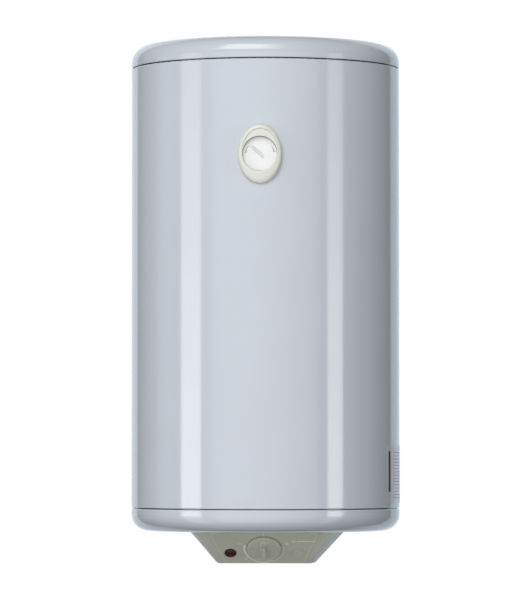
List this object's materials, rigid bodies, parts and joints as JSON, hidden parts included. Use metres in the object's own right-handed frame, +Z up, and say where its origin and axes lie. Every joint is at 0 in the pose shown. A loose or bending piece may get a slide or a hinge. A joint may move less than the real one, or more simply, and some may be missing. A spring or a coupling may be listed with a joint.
{
  "type": "tank water heater",
  "caption": "Wall-hung cylindrical electric storage water heater with a dial thermometer, a thermostat knob under the bottom, wall brackets and threaded water connections.",
  "frame": {"origin": "on the wall plane, in the middle of the four wall bolt holes, at half the casing's height", "axes": "+Z up along the casing, +Y into the wall, +X to the right as seen from the front; the front faces -Y"},
  "size_m": [0.4543, 0.471, 0.875],
  "materials": {
    "casing_enamel": "gloss",
    "foam": "matte",
    "label_print": "satin",
    "bracket_steel": "satin",
    "tank_enamel": "gloss",
    "gasket_rubber": "matte",
    "zinc_steel": "satin",
    "copper": "satin",
    "insulator": "satin",
    "magnesium": "matte",
    "white_plastic": "gloss",
    "blue_plastic": "satin",
    "red_plastic": "satin",
    "grey_plastic": "satin",
    "fascia_plastic": "satin",
    "foil_print": "satin",
    "black_plastic": "satin",
    "button_plastic": "gloss",
    "lens_red": "gloss",
    "lamp_glass": "gloss",
    "brass": "satin",
    "wire_live": "satin",
    "wire_neutral": "satin",
    "wire_earth": "satin",
    "dial_print": "satin",
    "needle_metal": "satin",
    "clear_lens": "gloss"
  },
  "bodies": {
    "heater": {"jacket": "casing_enamel", "top_cap": "casing_enamel", "bottom_cap": "casing_enamel", "foam_insulation": "foam", "rating_label": "label_print", "wall_bracket_upper": "bracket_steel", "wall_bracket_lower": "bracket_steel", "control_bracket": "bracket_steel", "tank_barrel": "tank_enamel", "tank_top_head": "tank_enamel", "tank_bottom_head": "tank_enamel", "tank_neck": "tank_enamel", "flange_gasket": "gasket_rubber", "cable_grommet": "gasket_rubber", "flange_plate": "zinc_steel", "flange_bolts": "zinc_steel", "cover_screws": "zinc_steel", "bracket_screws": "zinc_steel", "thermostat_screws": "zinc_steel", "anode_nut": "zinc_steel", "cold_inlet_nipple": "zinc_steel", "hot_outlet_nipple": "zinc_steel", "thermometer_can": "zinc_steel", "thermometer_stem": "zinc_steel", "thermometer_pocket": "zinc_steel", "sensor_well": "zinc_steel", "heating_element_left": "copper", "heating_element_right": "copper", "thermostat_sensor": "copper", "cutout_sensor": "copper", "element_insulators": "insulator", "terminal_block": "insulator", "magnesium_anode": "magnesium", "cold_inlet_diffuser": "white_plastic", "hot_outlet_standpipe": "white_plastic", "thermometer_bezel": "white_plastic", "cold_ring": "blue_plastic", "hot_ring": "red_plastic", "terminal_cover": "grey_plastic", "fascia_plate": "fascia_plastic", "blanking_plug": "fascia_plastic", "fascia_foil": "foil_print", "thermostat_body": "black_plastic", "safety_cutout": "black_plastic", "pilot_lens": "lens_red", "pilot_lamp": "lamp_glass", "terminal_screws": "brass", "earth_stud": "brass", "thermometer_spring": "brass", "live_wires": "wire_live", "neutral_wires": "wire_neutral", "earth_wires": "wire_earth", "thermometer_dial": "dial_print", "thermometer_lens": "clear_lens"},
    "knob": {"thermostat_knob": "fascia_plastic", "thermostat_spindle": "zinc_steel"},
    "needle": {"thermometer_needle": "needle_metal"},
    "reset": {"reset_button": "button_plastic"}
  },
  "joints": [
    {"name": "knob_turn", "type": "hinge", "parent": "heater", "child": "knob", "pos_m": [0, -0.29052, -0.43949], "axis": [0, 0.7193, 0.6947], "range_deg": [0, 284]},
    {"name": "needle_turn", "type": "hinge", "parent": "heater", "child": "needle", "pos_m": [0, -0.4634, 0.213], "axis": [0, 1, 0], "range_deg": [-39, 130], "stiffness_Nm_per_rad": 0.001},
    {"name": "reset_press", "type": "slide", "parent": "heater", "child": "reset", "axis": [0, 0, 1], "range_m": [0, 0.0015], "stiffness_N_per_m": 500}
  ]
}
